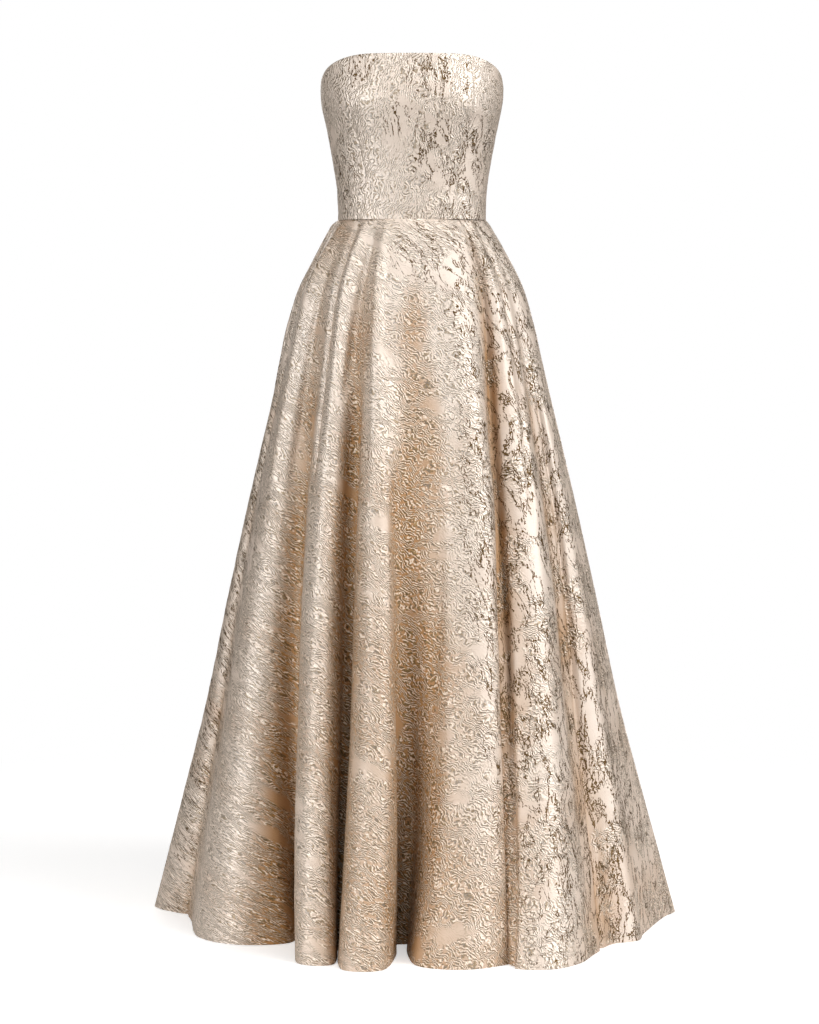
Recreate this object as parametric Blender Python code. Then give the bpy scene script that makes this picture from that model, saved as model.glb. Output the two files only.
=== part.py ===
"""Strapless fit-and-flare gown, hollow as when worn: a princess-seamed bodice on a flared skirt
whose soft tubular folds fall from the waist seam to the floor.

Metres, +Z up. The waist seam's centre is the origin. The wearer faces -Y and the wearer's left is +X.
"""

import math
from collections import namedtuple

import bpy
import numpy as np

BODICE_WALL = 0.0020
SKIRT_WALL = 0.0017
SEAM_GAP = 0.0003

FRONT_TOP = 0.264
SIDE_DROP = 0.050
BACK_DROP = 0.016
HEM = -1.155

BodiceSection = namedtuple("BodiceSection", "height half_width front back")
BODICE_SECTIONS = (
    BodiceSection(0.000, 0.1215, 0.0880, 0.0760),
    BodiceSection(0.050, 0.1235, 0.0930, 0.0830),
    BodiceSection(0.100, 0.1310, 0.1010, 0.0905),
    BodiceSection(0.150, 0.1405, 0.1110, 0.0965),
    BodiceSection(0.195, 0.1495, 0.1190, 0.0985),
    BodiceSection(0.230, 0.1500, 0.1165, 0.0985),
    BodiceSection(0.270, 0.1480, 0.1110, 0.0985),
)
BODICE_SQUARENESS = 2.25
CUP_DEPTH = 0.0065
CUP_TURN = math.radians(38)
CUP_SPREAD = math.radians(20)
CUP_HEIGHT = 0.185
CUP_RISE = 0.050

PRINCESS_WAIST = math.radians(37.5)
PRINCESS_BUST = math.radians(45.5)
PRINCESS_BUST_HEIGHT = 0.175
SIDE_SEAM = math.radians(90)
BACK_SEAM_WAIST = math.radians(147)
BACK_SEAM_TOP = math.radians(138)
CENTRE_BACK = math.radians(180)

BODICE_ROWS = 10
FRONT_COLUMNS = 12
SIDE_COLUMNS = 8

SkirtSection = namedtuple("SkirtSection", "height half_width front back")
SKIRT_SECTIONS = (
    SkirtSection(0.000, 0.1225, 0.0890, 0.0770),
    SkirtSection(-0.006, 0.1285, 0.0940, 0.0830),
    SkirtSection(-0.018, 0.1345, 0.1000, 0.0895),
    SkirtSection(-0.035, 0.1450, 0.1090, 0.1000),
    SkirtSection(-0.068, 0.1640, 0.1240, 0.1190),
    SkirtSection(-0.102, 0.1810, 0.1370, 0.1360),
    SkirtSection(-0.168, 0.2015, 0.1560, 0.1620),
    SkirtSection(-0.235, 0.2170, 0.1740, 0.1840),
    SkirtSection(-0.468, 0.2725, 0.2350, 0.2500),
    SkirtSection(-0.635, 0.3100, 0.2790, 0.2960),
    SkirtSection(-0.802, 0.3460, 0.3230, 0.3420),
    SkirtSection(-0.968, 0.3900, 0.3680, 0.3880),
    SkirtSection(HEM, 0.4410, 0.4200, 0.4400),
)
HIP = -0.237

# Each fold runs down the skirt as a crest between two furrows, listed from the wearer's right side
# across the front. The waist and hip turns are degrees from the centre front, positive towards the
# wearer's left. Hip reach is a share of the section there. The hem place is in metres, with the way
# the crest faces and half its width.
FoldLine = namedtuple(
    "FoldLine",
    "name waist_turn hip_turn hip_reach hem_across hem_forward hem_facing hem_half_width",
)
FOLD_LINES = (
    FoldLine("right side", -90, -90, 1.000, -0.437, -0.050, -88, 0.030),
    FoldLine("right notch", -78, -77, 0.985, -0.376, 0.030, None, None),
    FoldLine("front fold 1", -63, -63, 1.000, -0.276, 0.244, -14, 0.074),
    FoldLine("furrow 1", -50, -50, 0.925, -0.178, 0.158, None, None),
    FoldLine("front fold 2", -38, -35, 1.000, -0.151, 0.386, -8, 0.027),
    FoldLine("furrow 2", -28, -27, 0.890, -0.117, 0.285, None, None),
    FoldLine("front fold 3", -18, -15, 1.010, -0.076, 0.426, -2, 0.031),
    FoldLine("furrow 3", -4, -2, 0.955, -0.014, 0.245, None, None),
    FoldLine("front fold 4", 22, 25, 1.000, 0.077, 0.413, 3, 0.066),
    FoldLine("furrow 4", 43, 37, 0.925, 0.151, 0.366, None, None),
    FoldLine("front fold 5", 52, 49, 1.010, 0.214, 0.410, 17, 0.052),
    FoldLine("furrow 5", 61, 61, 0.955, 0.290, 0.300, None, None),
    FoldLine("front fold 6", 73, 71, 1.000, 0.362, 0.215, 52, 0.044),
    FoldLine("left side", 90, 90, 1.000, 0.443, -0.010, 88, 0.055),
    FoldLine("back furrow 1", 104, 103, 0.950, 0.378, -0.140, None, None),
    FoldLine("back fold 1", 115, 115, 1.000, 0.352, -0.262, 128, 0.046),
    FoldLine("back furrow 2", 127, 127, 0.915, 0.246, -0.232, None, None),
    FoldLine("back fold 2", 139, 140, 1.010, 0.234, -0.392, 152, 0.040),
    FoldLine("back furrow 3", 151, 151, 0.910, 0.143, -0.272, None, None),
    FoldLine("back fold 3", 161, 162, 1.000, 0.106, -0.428, 170, 0.040),
    FoldLine("back furrow 4", 171, 171, 0.930, 0.052, -0.320, None, None),
    FoldLine("centre back", 180, 180, 1.000, 0.000, -0.440, 180, 0.036),
    FoldLine("back furrow 5", 190, 190, 0.920, -0.056, -0.305, None, None),
    FoldLine("back fold 4", 201, 201, 1.010, -0.124, -0.432, 191, 0.046),
    FoldLine("back furrow 6", 213, 213, 0.905, -0.178, -0.262, None, None),
    FoldLine("back fold 5", 225, 224, 1.000, -0.258, -0.372, 209, 0.050),
    FoldLine("back furrow 7", 238, 237, 0.920, -0.292, -0.210, None, None),
    FoldLine("back fold 6", 251, 251, 1.000, -0.386, -0.222, 240, 0.042),
    FoldLine("back furrow 8", 261, 261, 0.975, -0.398, -0.120, None, None),
)
SHOULDER_SHARE = 0.40
SHOULDER_SETBACK = 0.42
SAMPLES_PER_LINE = 2
SKIRT_ROWS = (
    0.000, -0.010, -0.030, -0.060, -0.100, -0.150, -0.215, -0.290,
    -0.370, -0.460, -0.560, -0.670, -0.780, -0.890, -1.000, -1.080, HEM,
)

SLIDER_HEIGHT = 0.186
SLIDER_WIDTH = 0.0050
SLIDER_DEPTH = 0.0020
SLIDER_LENGTH = 0.0090
EAR_THICKNESS = 0.0006
EAR_RADIUS = 0.0016
PIN_RADIUS = 0.00055
PIN_STANDOFF = 0.0019
PIN_BELOW_TOP = 0.0020
EYE_RADIUS = 0.00085
BARREL_RADIUS = 0.00145
BARREL_LENGTH = 0.0032
TAB_LENGTH = 0.0240
TAB_WIDTH = 0.0052
TAB_THICKNESS = 0.0010
TAB_NECK = 0.0042
ROUND_SEGMENTS = 16

BROCADE_COLOUR = (0.72, 0.60, 0.46, 1.0)
BRASS_COLOUR = (0.68, 0.56, 0.36, 1.0)


def clear_scene():
    for obj in list(bpy.data.objects):
        bpy.data.objects.remove(obj, do_unlink=True)


def make_material(name, colour, roughness, metallic):
    material = bpy.data.materials.new(name)
    material.use_nodes = True
    shader = material.node_tree.nodes["Principled BSDF"]
    shader.inputs["Base Color"].default_value = colour
    shader.inputs["Roughness"].default_value = roughness
    shader.inputs["Metallic"].default_value = metallic
    return material


def smooth_through(knots, values, at):
    """A cubic curve through the knots, which must rise."""
    knots = np.asarray(knots, float)
    values = np.asarray(values, float)
    slopes = np.gradient(values, knots)
    at = np.clip(at, knots[0], knots[-1])
    k = np.clip(np.searchsorted(knots, at, side="right") - 1, 0, len(knots) - 2)
    span = knots[k + 1] - knots[k]
    t = (at - knots[k]) / span
    low = (1 + 2 * t) * (1 - t) ** 2 * values[k] + t * (1 - t) ** 2 * span * slopes[k]
    high = t * t * (3 - 2 * t) * values[k + 1] + t * t * (t - 1) * span * slopes[k + 1]
    return low + high


def section_at(sections, height):
    """Half width, front depth and back depth of the table's form at this height."""
    rising = sorted(sections)
    knots = [section.height for section in rising]
    columns = ([getattr(section, name) for section in rising] for name in ("half_width", "front", "back"))
    return [float(smooth_through(knots, column, height)) for column in columns]


def bodice_reach(turn, height):
    """Distance of the bodice's outer face from its axis."""
    half_width, front, back = section_at(BODICE_SECTIONS, height)
    depth = front if math.cos(turn) >= 0 else back
    n = BODICE_SQUARENESS
    share = (abs(math.sin(turn)) / half_width) ** n + (abs(math.cos(turn)) / depth) ** n
    around = (abs(turn) - CUP_TURN) / CUP_SPREAD
    up = (height - CUP_HEIGHT) / CUP_RISE
    return share ** (-1 / n) + CUP_DEPTH * math.exp(-around * around - up * up)


def bodice_point(turn, height):
    reach = bodice_reach(turn, height)
    return np.array((reach * math.sin(turn), -reach * math.cos(turn), height))


def bodice_top(turn):
    """The neckline: nearly level across the front, rounded down to the underarms, lowest at the back."""
    past = min(max((abs(turn) - math.radians(30)) / math.radians(60), 0.0), 1.0)
    behind = max(abs(turn) - SIDE_SEAM, 0.0) / SIDE_SEAM
    return FRONT_TOP - SIDE_DROP * past**2.3 - BACK_DROP * math.sin(behind * math.pi / 2)


def surface_normal(point, u, v, step_u, step_v):
    """Outward normal of a surface whose u runs towards the wearer's left and v runs up."""
    along = point(u + step_u, v) - point(u - step_u, v)
    up = point(u, v + step_v) - point(u, v - step_v)
    normal = np.cross(along, up)
    return normal / np.linalg.norm(normal)


def princess_seam(height):
    share = min(height / PRINCESS_BUST_HEIGHT, 1.0)
    return PRINCESS_WAIST + (PRINCESS_BUST - PRINCESS_WAIST) * math.sin(share * math.pi / 2)


def side_seam(height):
    return SIDE_SEAM


def back_seam(height):
    return BACK_SEAM_WAIST + (BACK_SEAM_TOP - BACK_SEAM_WAIST) * height / FRONT_TOP


def centre_back(height):
    return CENTRE_BACK


def mirrored(seam):
    return lambda height: -seam(height)


def wall(name, outer, inner, material):
    """One closed piece of cloth from its outer and inner grids, rows by columns, split alike."""
    rows, columns = outer.shape[:2]
    points = np.concatenate([outer.reshape(-1, 3), inner.reshape(-1, 3)])
    behind = rows * columns
    faces = []
    for r in range(rows - 1):
        for c in range(columns - 1):
            a = r * columns + c
            b, d, e = a + 1, a + columns, a + columns + 1
            rising = np.linalg.norm(points[a] - points[e]) < np.linalg.norm(points[b] - points[d])
            for p, q, s in ((a, b, e), (a, e, d)) if rising else ((a, b, d), (b, e, d)):
                faces += [(p, q, s), (p + behind, s + behind, q + behind)]
    rim = [c for c in range(columns)]
    rim += [r * columns + columns - 1 for r in range(1, rows)]
    rim += [(rows - 1) * columns + c for c in range(columns - 2, -1, -1)]
    rim += [r * columns for r in range(rows - 2, 0, -1)]
    for here, there in zip(rim, rim[1:] + rim[:1]):
        faces += [(there, here, here + behind), (there, here + behind, there + behind)]
    mesh = bpy.data.meshes.new(name)
    mesh.from_pydata([tuple(p) for p in points], [], faces)
    mesh.update()
    mesh.shade_smooth()
    mesh.set_sharp_from_angle(angle=math.radians(50))
    mesh.materials.append(material)
    obj = bpy.data.objects.new(name, mesh)
    bpy.context.scene.collection.objects.link(obj)
    return obj


def bodice_panel(name, first_seam, last_seam, columns, material):
    """A bodice panel between two seams, from the waist seam to the neckline."""
    outer = np.zeros((BODICE_ROWS + 1, columns + 1, 3))
    inner = np.zeros_like(outer)
    for r in range(BODICE_ROWS + 1):
        for c in range(columns + 1):
            height = SEAM_GAP / 2
            for _ in range(4):
                inset = SEAM_GAP / 2 / bodice_reach(first_seam(height), height)
                first = first_seam(height) + inset
                last = last_seam(height) - inset
                turn = first + (last - first) * c / columns
                height = SEAM_GAP / 2 + (bodice_top(turn) - SEAM_GAP / 2) * r / BODICE_ROWS
            normal = surface_normal(bodice_point, turn, height, 0.002, 0.001)
            outer[r, c] = bodice_point(turn, height)
            inner[r, c] = outer[r, c] - BODICE_WALL * normal
            inner[r, c, 2] = outer[r, c, 2] if r in (0, BODICE_ROWS) else inner[r, c, 2]
    return wall(name, outer, inner, material)


def on_section(turn_degrees, reach):
    turn = math.radians(turn_degrees)
    return np.array((reach * math.sin(turn), reach * math.cos(turn)))


def hem_share(across, forward):
    """A place on the hem's plan as shares of the hem section's half width and depth."""
    half_width, front, back = section_at(SKIRT_SECTIONS, HEM)
    return np.array((across / half_width, forward / (front if forward >= 0 else back)))


def wrapped_neighbour(index, step):
    """The fold line beside this one, with its turns carried past a whole circle where the list wraps."""
    place = index + step
    line = FOLD_LINES[place % len(FOLD_LINES)]
    lap = 360 * (place // len(FOLD_LINES))
    return line._replace(waist_turn=line.waist_turn + lap, hip_turn=line.hip_turn + lap)


def shoulder(index, side):
    """The line where a crest rounds into the furrow on one side of it: -1 before it, 1 after it."""
    crest = FOLD_LINES[index]
    beside = wrapped_neighbour(index, side)
    waist_turn = crest.waist_turn + SHOULDER_SHARE * (beside.waist_turn - crest.waist_turn)
    hip_turn = crest.hip_turn + SHOULDER_SHARE * (beside.hip_turn - crest.hip_turn)
    hip_reach = crest.hip_reach + 0.25 * (beside.hip_reach - crest.hip_reach)
    facing = math.radians(crest.hem_facing)
    outward = np.array((math.sin(facing), math.cos(facing)))
    onward = np.array((math.cos(facing), -math.sin(facing)))
    place = np.array((crest.hem_across, crest.hem_forward))
    place = place + crest.hem_half_width * (side * onward - SHOULDER_SETBACK * outward)
    return on_section(waist_turn, 1.0), on_section(hip_turn, hip_reach), hem_share(*place)


def skirt_lines():
    """Every line the skirt's sections pass through, as shares at the waist, the hip and the hem."""
    lines = []
    places = {}
    for index, line in enumerate(FOLD_LINES):
        if line.hem_facing is not None:
            lines.append(shoulder(index, -1))
        places[line.name] = len(lines)
        middle = (
            on_section(line.waist_turn, 1.0),
            on_section(line.hip_turn, line.hip_reach),
            hem_share(line.hem_across, line.hem_forward),
        )
        lines.append(middle)
        if line.hem_facing is not None:
            lines.append(shoulder(index, 1))
    return np.array(lines), places


LINES, LINE_PLACES = skirt_lines()


def skirt_ring(height):
    """Plan of the skirt's lines at this height: their shares of the section, times its sizes."""
    down = height / HEM
    hip = HIP / HEM
    at_waist = (down - hip) * (down - 1) / hip
    at_hip = down * (down - 1) / (hip * (hip - 1))
    at_hem = down * (down - hip) / (1 - hip)
    shares = at_waist * LINES[:, 0] + at_hip * LINES[:, 1] + at_hem * LINES[:, 2]
    half_width, front, back = section_at(SKIRT_SECTIONS, height)
    depth = np.where(shares[:, 1] >= 0, front, back)
    return np.stack([shares[:, 0] * half_width, shares[:, 1] * depth], axis=1)


def skirt_point(place, height):
    """A point on the skirt: place counts along the lines, and between two it follows a smooth curve."""
    ring = skirt_ring(height)
    k = math.floor(place)
    p0, p1, p2, p3 = (ring[(k + step) % len(ring)] for step in (-1, 0, 1, 2))
    t0 = 0.0
    t1 = t0 + math.sqrt(np.linalg.norm(p1 - p0))
    t2 = t1 + math.sqrt(np.linalg.norm(p2 - p1))
    t3 = t2 + math.sqrt(np.linalg.norm(p3 - p2))
    t = t1 + (t2 - t1) * (place - k)
    a1 = ((t1 - t) * p0 + (t - t0) * p1) / (t1 - t0)
    a2 = ((t2 - t) * p1 + (t - t1) * p2) / (t2 - t1)
    a3 = ((t3 - t) * p2 + (t - t2) * p3) / (t3 - t2)
    b1 = ((t2 - t) * a1 + (t - t0) * a2) / (t2 - t0)
    b2 = ((t3 - t) * a2 + (t - t1) * a3) / (t3 - t1)
    across, forward = ((t2 - t) * b1 + (t - t1) * b2) / (t2 - t1)
    return np.array((across, -forward, height))


def skirt_panel(name, first_line, last_line, material):
    """A skirt panel between two of the fold lines, from the waist seam to the hem."""
    first = LINE_PLACES[first_line]
    last = LINE_PLACES[last_line]
    if last <= first:
        last += len(LINES)
    columns = (last - first) * SAMPLES_PER_LINE
    outer = np.zeros((len(SKIRT_ROWS), columns + 1, 3))
    inner = np.zeros_like(outer)
    for r, row_height in enumerate(reversed(SKIRT_ROWS)):
        height = min(row_height, -SEAM_GAP / 2)
        for c in range(columns + 1):
            place = first + c / SAMPLES_PER_LINE
            if c in (0, columns):
                way = 1 if c == 0 else -1
                step = skirt_point(place + 0.01 * way, height) - skirt_point(place, height)
                place += way * 0.01 * (SEAM_GAP / 2) / np.linalg.norm(step)
            normal = surface_normal(skirt_point, place, height, 0.02, 0.001)
            level = np.array((normal[0], normal[1], 0.0))
            outer[r, c] = skirt_point(place, height)
            inner[r, c] = outer[r, c] - SKIRT_WALL * level / np.linalg.norm(level)
    return wall(name, outer, inner, material)


def box(name, size, centre):
    bpy.ops.mesh.primitive_cube_add(size=1, location=centre)
    obj = bpy.context.object
    obj.name = name
    obj.scale = size
    bpy.ops.object.transform_apply(location=False, rotation=False, scale=True)
    return obj


def rod(name, radius, length, centre):
    """A round bar along X."""
    bpy.ops.mesh.primitive_cylinder_add(
        vertices=ROUND_SEGMENTS, radius=radius, depth=length, location=centre, rotation=(0, math.pi / 2, 0)
    )
    obj = bpy.context.object
    obj.name = name
    return obj


def combine(target, other, operation):
    modifier = target.modifiers.new(operation.title(), "BOOLEAN")
    modifier.operation = operation
    modifier.object = other
    bpy.context.view_layer.objects.active = target
    bpy.ops.object.modifier_apply(modifier=modifier.name)
    bpy.data.objects.remove(other, do_unlink=True)


def finish_metal(obj, material):
    obj.data.materials.clear()
    obj.data.materials.append(material)
    obj.data.shade_smooth()
    obj.data.set_sharp_from_angle(angle=math.radians(35))


def zip_pin_place():
    back_face = float(bodice_point(CENTRE_BACK, SLIDER_HEIGHT + SLIDER_LENGTH / 2)[1])
    slider_back = back_face + SEAM_GAP
    pin_y = slider_back + SLIDER_DEPTH + PIN_STANDOFF
    return slider_back, pin_y, SLIDER_HEIGHT + SLIDER_LENGTH / 2 - PIN_BELOW_TOP


def make_zip_slider(material):
    """The slider's body with two ears and the pin that carries the pull tab."""
    slider_back, pin_y, pin_z = zip_pin_place()
    size = (SLIDER_WIDTH, SLIDER_DEPTH, SLIDER_LENGTH)
    slider = box("zip_slider", size, (0, slider_back + SLIDER_DEPTH / 2, SLIDER_HEIGHT))
    ear_x = SLIDER_WIDTH / 2 - EAR_THICKNESS / 2
    for side in (-1, 1):
        ear = rod("ear", EAR_RADIUS, EAR_THICKNESS, (side * ear_x, pin_y, pin_z))
        foot_depth = PIN_STANDOFF + 0.0004
        foot = box(
            "foot",
            (EAR_THICKNESS, foot_depth, 2 * EAR_RADIUS * 0.98),
            (side * ear_x, pin_y - foot_depth / 2, pin_z),
        )
        combine(ear, foot, "UNION")
        combine(slider, ear, "UNION")
    pin = rod("pin", PIN_RADIUS, SLIDER_WIDTH - EAR_THICKNESS, (0, pin_y, pin_z))
    combine(slider, pin, "UNION")
    finish_metal(slider, material)
    return slider


def make_zip_pull(material):
    """The tab: a barrel round the pin, a narrow neck between the ears and a flat grip below them."""
    _, pin_y, pin_z = zip_pin_place()
    pull = rod("zip_pull", BARREL_RADIUS, BARREL_LENGTH, (0, pin_y, pin_z))
    neck = box("neck", (BARREL_LENGTH, TAB_THICKNESS, TAB_NECK), (0, pin_y, pin_z - TAB_NECK / 2))
    combine(pull, neck, "UNION")
    grip_length = TAB_LENGTH - TAB_NECK
    grip_z = pin_z - TAB_NECK + 0.0004 - grip_length / 2
    grip = box("grip", (TAB_WIDTH, TAB_THICKNESS * 1.2, grip_length), (0, pin_y, grip_z))
    bevel = grip.modifiers.new("Corners", "BEVEL")
    bevel.width = TAB_WIDTH * 0.3
    bevel.segments = 3
    bevel.limit_method = "WEIGHT"
    edges = grip.data.attributes.new("bevel_weight_edge", "FLOAT", "EDGE")
    for edge in grip.data.edges:
        a, b = (grip.data.vertices[i].co for i in edge.vertices)
        edges.data[edge.index].value = 1.0 if abs(a.y - b.y) > abs(a.z - b.z) + abs(a.x - b.x) else 0.0
    bpy.context.view_layer.objects.active = grip
    bpy.ops.object.modifier_apply(modifier=bevel.name)
    combine(pull, grip, "UNION")
    eye = rod("eye", EYE_RADIUS, BARREL_LENGTH * 1.5, (0, pin_y, pin_z))
    combine(pull, eye, "DIFFERENCE")
    finish_metal(pull, material)
    return pull


def main():
    clear_scene()
    brocade = make_material("brocade", BROCADE_COLOUR, 0.38, 0.35)
    brass = make_material("brass", BRASS_COLOUR, 0.30, 1.0)
    bodice_panel("bodice_centre_front", mirrored(princess_seam), princess_seam, FRONT_COLUMNS, brocade)
    bodice_panel("bodice_side_front_left", princess_seam, side_seam, SIDE_COLUMNS, brocade)
    bodice_panel("bodice_side_back_left", side_seam, back_seam, SIDE_COLUMNS, brocade)
    bodice_panel("bodice_back_left", back_seam, centre_back, SIDE_COLUMNS, brocade)
    bodice_panel("bodice_side_front_right", mirrored(side_seam), mirrored(princess_seam), SIDE_COLUMNS, brocade)
    bodice_panel("bodice_side_back_right", mirrored(back_seam), mirrored(side_seam), SIDE_COLUMNS, brocade)
    bodice_panel("bodice_back_right", mirrored(centre_back), mirrored(back_seam), SIDE_COLUMNS, brocade)
    skirt_panel("skirt_front", "right side", "left side", brocade)
    skirt_panel("skirt_back_left", "left side", "centre back", brocade)
    skirt_panel("skirt_back_right", "centre back", "right side", brocade)
    make_zip_slider(brass)
    make_zip_pull(brass)


main()
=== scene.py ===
import math
from collections import namedtuple

import bpy
import numpy as np
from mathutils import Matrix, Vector, noise


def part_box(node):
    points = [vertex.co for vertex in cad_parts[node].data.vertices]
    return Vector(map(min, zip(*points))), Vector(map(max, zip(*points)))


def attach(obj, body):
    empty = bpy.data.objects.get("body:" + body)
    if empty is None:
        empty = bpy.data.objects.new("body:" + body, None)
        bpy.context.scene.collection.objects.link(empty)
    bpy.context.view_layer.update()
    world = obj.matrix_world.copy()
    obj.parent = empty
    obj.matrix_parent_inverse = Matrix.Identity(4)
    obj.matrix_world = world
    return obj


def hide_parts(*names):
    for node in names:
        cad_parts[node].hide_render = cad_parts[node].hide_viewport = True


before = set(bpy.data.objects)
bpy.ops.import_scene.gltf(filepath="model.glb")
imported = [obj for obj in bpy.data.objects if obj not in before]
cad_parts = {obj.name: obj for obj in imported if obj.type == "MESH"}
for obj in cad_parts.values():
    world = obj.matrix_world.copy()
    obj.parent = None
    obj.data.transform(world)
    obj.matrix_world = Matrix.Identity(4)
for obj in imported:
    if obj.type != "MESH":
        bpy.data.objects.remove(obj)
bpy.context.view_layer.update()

# Camera, floor and studio light
# A pale seamless floor that fades into the white all round. A very large soft light stands high at
# the wearer's left, one overhead in front, a smaller one low at the right and one behind. The camera
# stands a few metres away at the height of the hips, looking slightly down.

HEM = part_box("skirt_front")[0].z
CAMERA_DISTANCE = 4.6
CAMERA_HEIGHT = -0.1486
CAMERA_TILT = math.radians(4.145)
CAMERA_ACROSS = -0.004
LENS_MM = 97.57
FILM_WIDTH_MM = 36
SIGHT_LIMIT = 60

FLOOR_SIZE = 40
FLOOR_DROP = 0.0005
FLOOR_FADE_START = 0.7
FLOOR_FADE_END = 1.8
FLOOR_GLOW = 0.42
FLOOR_COLOUR = (0.85, 0.85, 0.85, 1)
FLOOR_ROUGHNESS = 0.9
FLOOR_SHINE = 0.1
PLAIN_WHITE = (1, 1, 1, 1)
ROOM_WHITE = (0.98, 0.98, 1.0, 1)

SoftLight = namedtuple("SoftLight", "name across forward height width length power colour")
SOFT_LIGHTS = (
    SoftLight("key", 3.9, 2.5, 1.5, 3.2, 3.4, 234, (1.0, 0.985, 0.97)),
    SoftLight("overhead", 0.5, 1.7, 2.9, 2.2, 1.6, 48, (1.0, 0.985, 0.97)),
    SoftLight("fill", -3.0, 3.3, 0.3, 2.4, 2.6, 138, (1.0, 0.985, 0.97)),
    SoftLight("behind", -0.8, -4.2, 1.5, 2.4, 2.6, 90, (1.0, 0.99, 0.98)),
)
LIGHTS_AIM = (0.0, 0.0, -0.35)
WORLD_LIGHT = 0.08


def connect(links, value, socket):
    """Link another node's output to the socket, or set the socket to a plain value."""
    if hasattr(value, "is_output"):
        links.new(value, socket)
    else:
        socket.default_value = value


def smooth_step(nodes, links, value, low, high, start=0.0, end=1.0):
    """A value that goes softly from start to end while the given one goes from low to high."""
    node = nodes.new("ShaderNodeMapRange")
    node.interpolation_type = "SMOOTHSTEP"
    connect(links, value, node.inputs["Value"])
    connect(links, low, node.inputs["From Min"])
    connect(links, high, node.inputs["From Max"])
    connect(links, start, node.inputs["To Min"])
    connect(links, end, node.inputs["To Max"])
    return node.outputs["Result"]


def new_material(name):
    """A material, with its nodes, its links and its shader."""
    material = bpy.data.materials.new(name)
    material.use_nodes = True
    nodes, links = material.node_tree.nodes, material.node_tree.links
    return material, nodes, links, nodes["Principled BSDF"]


def add_camera():
    bpy.ops.object.camera_add(
        location=(CAMERA_ACROSS, -CAMERA_DISTANCE, CAMERA_HEIGHT),
        rotation=(math.radians(90) - CAMERA_TILT, 0, 0),
    )
    camera = bpy.context.object
    camera.name = "camera"
    camera.data.lens = LENS_MM
    camera.data.sensor_width = FILM_WIDTH_MM
    camera.data.clip_end = SIGHT_LIMIT
    bpy.context.scene.camera = camera


def add_floor():
    """A matt floor under the gown that turns into plain white further off, as the camera sees it."""
    bpy.ops.mesh.primitive_plane_add(size=FLOOR_SIZE, location=(0, 0, HEM - FLOOR_DROP))
    floor = bpy.context.object
    floor.name = "floor"
    material, nodes, links, matt = new_material("pale_floor")
    matt.inputs["Base Color"].default_value = FLOOR_COLOUR
    matt.inputs["Roughness"].default_value = FLOOR_ROUGHNESS
    matt.inputs["Specular IOR Level"].default_value = FLOOR_SHINE
    matt.inputs["Emission Color"].default_value = PLAIN_WHITE
    white = nodes.new("ShaderNodeEmission")
    seen = nodes.new("ShaderNodeLightPath").outputs["Is Camera Ray"]
    glow = smooth_step(nodes, links, seen, 0.0, 1.0, 0.0, FLOOR_GLOW)
    links.new(glow, matt.inputs["Emission Strength"])
    brightness = smooth_step(nodes, links, seen, 0.0, 1.0, WORLD_LIGHT, 1.0)
    links.new(brightness, white.inputs["Strength"])
    place = nodes.new("ShaderNodeTexCoord")
    distance = nodes.new("ShaderNodeVectorMath")
    distance.operation = "LENGTH"
    links.new(place.outputs["Object"], distance.inputs[0])
    fade = smooth_step(nodes, links, distance.outputs["Value"], FLOOR_FADE_START, FLOOR_FADE_END)
    choose = nodes.new("ShaderNodeMixShader")
    links.new(fade, choose.inputs["Fac"])
    links.new(matt.outputs["BSDF"], choose.inputs[1])
    links.new(white.outputs["Emission"], choose.inputs[2])
    links.new(choose.outputs["Shader"], nodes["Material Output"].inputs["Surface"])
    floor.data.materials.append(material)


def add_soft_light(soft):
    place = Vector((soft.across, -soft.forward, soft.height))
    bpy.ops.object.light_add(type="AREA", location=place)
    light = bpy.context.object
    light.name = soft.name
    light.data.shape = "RECTANGLE"
    light.data.size = soft.width
    light.data.size_y = soft.length
    light.data.energy = soft.power
    light.data.color = soft.colour
    light.rotation_euler = (Vector(LIGHTS_AIM) - place).to_track_quat("-Z", "Y").to_euler()


def set_world():
    """White all round for the camera, and a dimmer white for the light that falls on the gown."""
    world = bpy.data.worlds.new("studio")
    bpy.context.scene.world = world
    world.use_nodes = True
    nodes, links = world.node_tree.nodes, world.node_tree.links
    dim = nodes["Background"]
    dim.inputs["Color"].default_value = ROOM_WHITE
    dim.inputs["Strength"].default_value = WORLD_LIGHT
    bright = nodes.new("ShaderNodeBackground")
    bright.inputs["Color"].default_value = PLAIN_WHITE
    seen = nodes.new("ShaderNodeLightPath")
    choose = nodes.new("ShaderNodeMixShader")
    links.new(seen.outputs["Is Camera Ray"], choose.inputs["Fac"])
    links.new(dim.outputs["Background"], choose.inputs[1])
    links.new(bright.outputs["Background"], choose.inputs[2])
    links.new(choose.outputs["Shader"], nodes["World Output"].inputs["Surface"])


bpy.ops.object.select_all(action="DESELECT")
add_camera()
add_floor()
set_world()
for soft_light in SOFT_LIGHTS:
    add_soft_light(soft_light)
bpy.context.scene.view_settings.view_transform = "Standard"

# Brocade
# A champagne satin ground, crinkled all over by raised squiggles of gold yarn, with broken chains of
# dark bronze yarn in drifts. Light brings up the satin's pale gloss and shade its golden brown. Golden
# brown shade is also painted into the skirt's colour, with its gloss lowered, deep in the folds, more
# towards the hem and the middle of the front and back, and in patches.

# The golden brown satin is mixed in as painted shade in the folds, and a little as random mottle.
SATIN_SHADE_AND_MOTTLE = (0.395, 0.208, 0.080, 1)
SATIN_PALE = (0.60, 0.48, 0.385, 1)
SATIN_GLOSS = (1.0, 0.95, 0.90, 1)
SATIN_IOR = 2.7
CRINKLED_ROUGHNESS = 0.52
PLAIN_ROUGHNESS = 0.62
LIT_EDGE = (0.86, 0.74, 0.62, 1)
SHADED_EDGE = (0.11, 0.074, 0.034, 1)
YARN_GOLD = (0.25, 0.175, 0.075, 1)
YARN_BRONZE = (0.15, 0.094, 0.043, 1)
GOLD_COVER = 0.8
GOLD_SHINE = 0.8

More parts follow.
